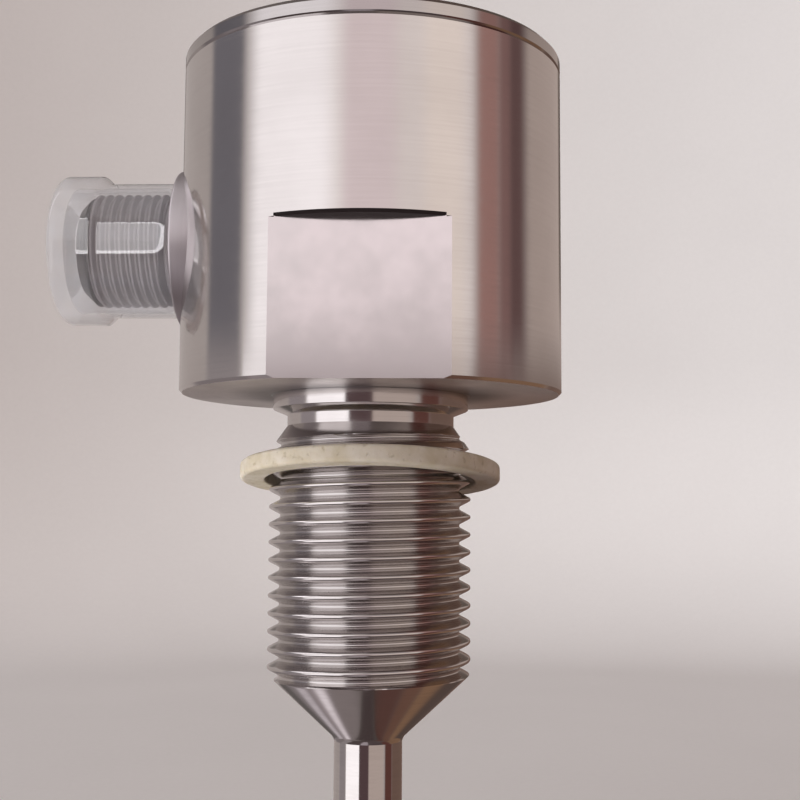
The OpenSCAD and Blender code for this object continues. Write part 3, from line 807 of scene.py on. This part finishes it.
# soft boxes, cards and flags round the object, laid over each other in this order: name, azimuth from
# and to, elevation from and to in degrees, softness of the left and the right edge, colour. Azimuth 0 is
# the camera's side and grows to the right. Below the level split they are darker than above it.
LEVEL_SPLIT = 6.5
HIGH = 28
DEEP = -22
SURROUNDINGS = [
    ("low back left", -200, -112, DEEP, LEVEL_SPLIT, 6, 8, (0.46, 0.405, 0.385)),
    ("deep back left", -200, -108, -95, -77, 6, 6, (0.165, 0.138, 0.13)),
    ("deeper back left", -200, -104, -77, -62, 6, 6, (0.26, 0.22, 0.218)),
    ("steep back left", -200, -100, -62, -48, 6, 8, (0.36, 0.305, 0.315)),
    ("middle back left", -200, -100, -48, DEEP, 6, 8, (0.26, 0.225, 0.23)),
    ("high back left", -200, -112, HIGH, 80, 6, 8, (0.20, 0.17, 0.16)),
    ("straight behind, steep left", -200, -152, -48, -18, 6, 6, (0.13, 0.115, 0.11)),
    ("straight behind, high left", -200, -159, 9, 60, 6, 6, (0.17, 0.15, 0.14)),
    ("back card right", 104, 200, LEVEL_SPLIT, HIGH, 22, 6, (0.49, 0.40, 0.36)),
    ("high back right", 92, 200, HIGH, 80, 6, 6, (0.15, 0.10, 0.085)),
    ("low back right", 92, 200, DEEP, LEVEL_SPLIT, 6, 6, (0.185, 0.118, 0.094)),
    ("middle back right", 92, 200, -55, DEEP, 6, 6, (0.25, 0.145, 0.09)),
    ("steep back right", 92, 200, -66, -55, 6, 6, (0.17, 0.09, 0.065)),
    ("deeper back right", 92, 200, -78, -66, 6, 6, (0.12, 0.06, 0.05)),
    ("deep back right", 92, 200, -95, -78, 6, 6, (0.07, 0.042, 0.036)),
    ("straight behind, steep right", 152, 200, -48, -18, 6, 6, (0.10, 0.07, 0.06)),
    ("straight behind, high right", 159, 200, 9, 60, 6, 6, (0.13, 0.10, 0.085)),
    ("dark flag left", -107, -78, LEVEL_SPLIT, 70, 6, 6, (0.19, 0.18, 0.20)),
    ("low flag left", -107, -78, -60, LEVEL_SPLIT, 6, 6, (0.34, 0.30, 0.31)),
    ("high lamp left", -103, -84, 25, 70, 4, 4, (2.6, 2.5, 2.6)),
    ("red flag", 67, 83, LEVEL_SPLIT, 70, 8, 6, (0.40, 0.225, 0.20)),
    ("brown flag", 83, 94, LEVEL_SPLIT, 70, 6, 6, (0.26, 0.15, 0.14)),
    ("dark flag right", 92, 106, LEVEL_SPLIT, 70, 5, 12, (0.145, 0.085, 0.082)),
    ("low flag right", 63, 92, -60, LEVEL_SPLIT, 6, 8, (0.13, 0.055, 0.045)),
    ("overhead card", -40, 65, LEVEL_SPLIT, HIGH, 6, 9, (0.94, 0.85, 0.82)),
    ("rosy overhead card", -14, 17, LEVEL_SPLIT, HIGH, 8, 12, (0.91, 0.78, 0.79)),
    ("warm overhead card", 34, 58, LEVEL_SPLIT, HIGH, 12, 8, (1.01, 0.89, 0.82)),
    ("high front", -6, 65, HIGH, 80, 6, 9, (0.34, 0.30, 0.30)),
    ("front card", 3, 58, -22, LEVEL_SPLIT, 4, 8, (0.56, 0.465, 0.42)),
    ("front flag", -26, 6, -22, LEVEL_SPLIT, 4, 4, (0.11, 0.07, 0.073)),
    ("low front", -80, 63, -95, -24, 6, 6, (0.10, 0.075, 0.075)),
    ("low front card", -26, 3, -72, -24, 4, 4, (0.44, 0.385, 0.41)),
    ("soft box", -75.5, -26, -30, LEVEL_SPLIT, 2, 2, (1.5, 1.45, 1.48)),
    ("soft box top", -72, -18, LEVEL_SPLIT, 50, 16, 20, (1.32, 1.27, 1.29)),
    ("low lamp left", -151, -139.5, -47, -39, 3, 3, (0.62, 0.56, 0.59)),
    ("low lamp near left", -143, -134, -60, -53.5, 2, 2, (0.98, 0.9, 0.94)),
]
# colour of what lies between them, level, above and below
SURROUND_BASE = (0.48, 0.43, 0.41)
SURROUND_TOP = (0.62, 0.58, 0.57)
SURROUND_LOW = (0.12, 0.10, 0.095)
# softness of their upper and lower edges in degrees
EDGE_BLUR = 5
# floor under the probe's tip: radius, radius of the bend up into the backdrop, height of the backdrop, gap
FLOOR_RADIUS = 440.0
FLOOR_BEND = 120.0
FLOOR_HEIGHT = 560.0
FLOOR_GAP = 0.05
# soft light at the lower left
FILL_PLACE = (-160, -45, -120)
FILL_SIZE = 140
# light card in front of the clear cap, which only the cap mirrors: its lower right corner, width and
# height, how far its rounded right corners reach in and up, and the width of its brighter right, lower
# and upper rim
CARD_PLACE = (-21.35, -12.0, 12.55)
CARD_SIZE = (9.3, 8.5)
CARD_ROUND = (1.5, 3.6)
CARD_RIM = (0.55, 0.8, 0.3)
CARD_RIM_BOOST = 2.8


class SWITCH_OT_stage(bpy.types.Operator):
    """Set the floor, the surrounding light and the camera"""

    bl_idname = "flow_switch.stage"
    bl_label = "Stage"

    def execute(self, context):
        studio = context.scene.switch_studio
        self.lay_floor(studio)
        self.light_surroundings(studio)
        self.hang_card(studio)
        self.hang_fill(studio)
        self.set_camera(studio)
        context.scene.view_settings.view_transform = "Standard"
        return {"FINISHED"}

    def lay_floor(self, studio):
        """A round floor that curves up into a backdrop on all sides."""
        level = cad_box[0].z / MM - FLOOR_GAP
        flat, bend = FLOOR_RADIUS - FLOOR_BEND, FLOOR_BEND
        path = [(0.0, level), (120.0, level), (flat, level)]
        path += [
            (flat + bend * math.sin(a), level + bend - bend * math.cos(a))
            for a in np.radians(np.linspace(6, 90, 15))
        ]
        path.append((FLOOR_RADIUS, FLOOR_HEIGHT))
        floor = turned_piece("floor", [plain_rows(path, 96)], closed=False)
        tone = tuple(studio.floor_tone)
        deeper = tuple(c * 0.97 for c in tone)
        floor.data.materials.append(moulded("floor_paper", tone, deeper, 0.8, 1.5, 60.0, 0.02))
        floor.data.flip_normals()
        floor.visible_glossy = False
        floor.visible_diffuse = False
        floor.visible_shadow = False

    def light_surroundings(self, studio):
        """Soft light boxes and flags by direction, as the object mirrors them."""
        world = bpy.data.worlds.new("studio")
        world.use_nodes = True
        bpy.context.scene.world = world
        w = Wiring(world.node_tree)
        x, y, z = w.split(w.add("TexCoord").outputs["Generated"])[:]
        turn = w.math("MULTIPLY", w.math("ARCTAN2", x, w.math("MULTIPLY", y, -1.0)), 180 / math.pi)
        rise = w.math("MULTIPLY", w.math("ARCSINE", z), 180 / math.pi)
        colour = w.mixed(w.ranged(rise, -50, -15, smooth=True), SURROUND_LOW, SURROUND_BASE)
        colour = w.mixed(w.ranged(rise, 20, 60, smooth=True), colour, SURROUND_TOP)
        for _, left, right, low, high, soft_left, soft_right, tone in SURROUNDINGS:
            mask = w.ranged(turn, left - soft_left / 2, left + soft_left / 2, smooth=True)
            for value, start, end in ((turn, right + soft_right / 2, right - soft_right / 2),
                                      (rise, low - EDGE_BLUR / 2, low + EDGE_BLUR / 2),
                                      (rise, high + EDGE_BLUR / 2, high - EDGE_BLUR / 2)):
                mask = w.math("MULTIPLY", mask, w.ranged(value, start, end, smooth=True))
            colour = w.mixed(mask, colour, tone)
        light = w.add("Background", {"Color": colour, "Strength": studio.light})
        w.add("OutputWorld", {"Surface": light.outputs[0]})

    def hang_card(self, studio):
        """A light card with a brighter rim, seen only as a reflection in the clear cap."""
        width, height = CARD_SIZE
        right, low, high = CARD_RIM
        loops = []
        for inset in (0, 1):
            reach, rise = CARD_ROUND[0] - right * inset, CARD_ROUND[1] - low * inset
            loop = []
            for z, start in ((low * inset + rise, -90), (height - high * inset - rise, 0)):
                for a in np.radians(np.linspace(start, start + 90, 13)):
                    loop.append((reach * (math.cos(a) - 1) - right * inset, 0.0, z + rise * math.sin(a)))
            loop += [(-width, 0.0, height - high * inset), (-width, 0.0, low * inset)]
            loops += loop
        count = len(loops) // 2
        faces = [[i, (i + 1) % count, count + (i + 1) % count, count + i] for i in range(count)]
        faces.append(list(range(count, 2 * count)))
        mesh = bpy.data.meshes.new("light_card")
        mesh.from_pydata([[(c + p) * MM for c, p in zip(point, CARD_PLACE)] for point in loops], [], faces)
        for name, strength in (("card_rim", studio.card * CARD_RIM_BOOST), ("card_face", studio.card)):
            material, w = new_material(name)
            glow = w.add("Emission", {"Color": (1.0, 0.98, 1.0, 1), "Strength": strength})
            clear = w.add("BsdfTransparent")
            both = w.add("AddShader", {0: glow.outputs[0], 1: clear.outputs[0]})
            w.add("OutputMaterial", {"Surface": both.outputs[0]})
            mesh.materials.append(material)
        mesh.polygons[count].material_index = 1
        card = bpy.data.objects.new("light_card", mesh)
        bpy.context.scene.collection.objects.link(card)
        card.visible_camera = False
        card.visible_shadow = False
        card.visible_diffuse = False
        card.visible_transmission = False
        shown_in = bpy.data.collections.new("mirrors_the_card")
        shown_in.objects.link(bpy.data.objects["clear_cap"])
        card.light_linking.receiver_collection = shown_in

    def hang_fill(self, studio):
        """A soft light from the left, which lifts dull surfaces and isn't mirrored."""
        data = bpy.data.lights.new("fill", "AREA")
        data.shape = "DISK"
        data.size = FILL_SIZE * MM
        data.energy = studio.fill
        data.color = (1.0, 0.97, 0.95)
        fill = bpy.data.objects.new("fill", data)
        place = Vector(FILL_PLACE) * MM
        fill.matrix_world = Matrix.Translation(place) @ place.to_track_quat("Z", "Y").to_matrix().to_4x4()
        fill.visible_glossy = False
        fill.visible_camera = False
        bpy.context.scene.collection.objects.link(fill)

    def set_camera(self, studio):
        """The camera where the photograph was taken from."""
        data = bpy.data.cameras.new("camera")
        data.lens = studio.lens
        data.sensor_width = 36
        data.clip_start = 5 * MM
        data.clip_end = 5
        camera = bpy.data.objects.new("camera", data)
        bpy.context.scene.collection.objects.link(camera)
        camera.matrix_world = (
            Matrix.Translation(studio.camera_place)
            @ Matrix.Rotation(studio.heading, 4, "Z")
            @ Matrix.Rotation(math.pi / 2 + studio.rise, 4, "X")
            @ Matrix.Rotation(studio.roll, 4, "Z")
        )
        bpy.context.scene.camera = camera


OPERATORS = (
    SWITCH_OT_head, SWITCH_OT_fitting, SWITCH_OT_probe, SWITCH_OT_plug, SWITCH_OT_cap,
    SWITCH_OT_washer, SWITCH_OT_electronics, SWITCH_OT_sensor, SWITCH_OT_stage,
)
SETTINGS = {
    "switch_steel": SteelLook,
    "switch_threads": ThreadSizes,
    "switch_soft": SoftLook,
    "switch_studio": StudioSet,
}


class SWITCH_PT_panel(bpy.types.Panel):
    """Lists the steps of the switch"""

    bl_idname = "SWITCH_PT_panel"
    bl_label = "Flow switch"
    bl_space_type = "VIEW_3D"
    bl_region_type = "UI"
    bl_category = "Flow switch"

    def draw(self, context):
        for step in OPERATORS:
            self.layout.operator(step.bl_idname)
        for name in SETTINGS:
            group = getattr(context.scene, name)
            box = self.layout.box()
            for key in group.bl_rna.properties.keys():
                if key not in ("rna_type", "name"):
                    box.prop(group, key)


def register():
    """Adds the settings, the steps and the panel."""
    for cls in (*SETTINGS.values(), *OPERATORS, SWITCH_PT_panel):
        bpy.utils.register_class(cls)
    for name, cls in SETTINGS.items():
        setattr(bpy.types.Scene, name, PointerProperty(type=cls))


def unregister():
    """Takes them away again."""
    for name in SETTINGS:
        delattr(bpy.types.Scene, name)
    for cls in (SWITCH_PT_panel, *reversed(OPERATORS), *SETTINGS.values()):
        bpy.utils.unregister_class(cls)


def main():
    """Runs every step in order."""
    register()
    steps = bpy.ops.flow_switch
    steps.head()
    steps.fitting()
    steps.probe()
    steps.plug()
    steps.cap()
    steps.washer()
    steps.electronics()
    steps.sensor()
    steps.stage()


if __name__ == "__main__":
    main()
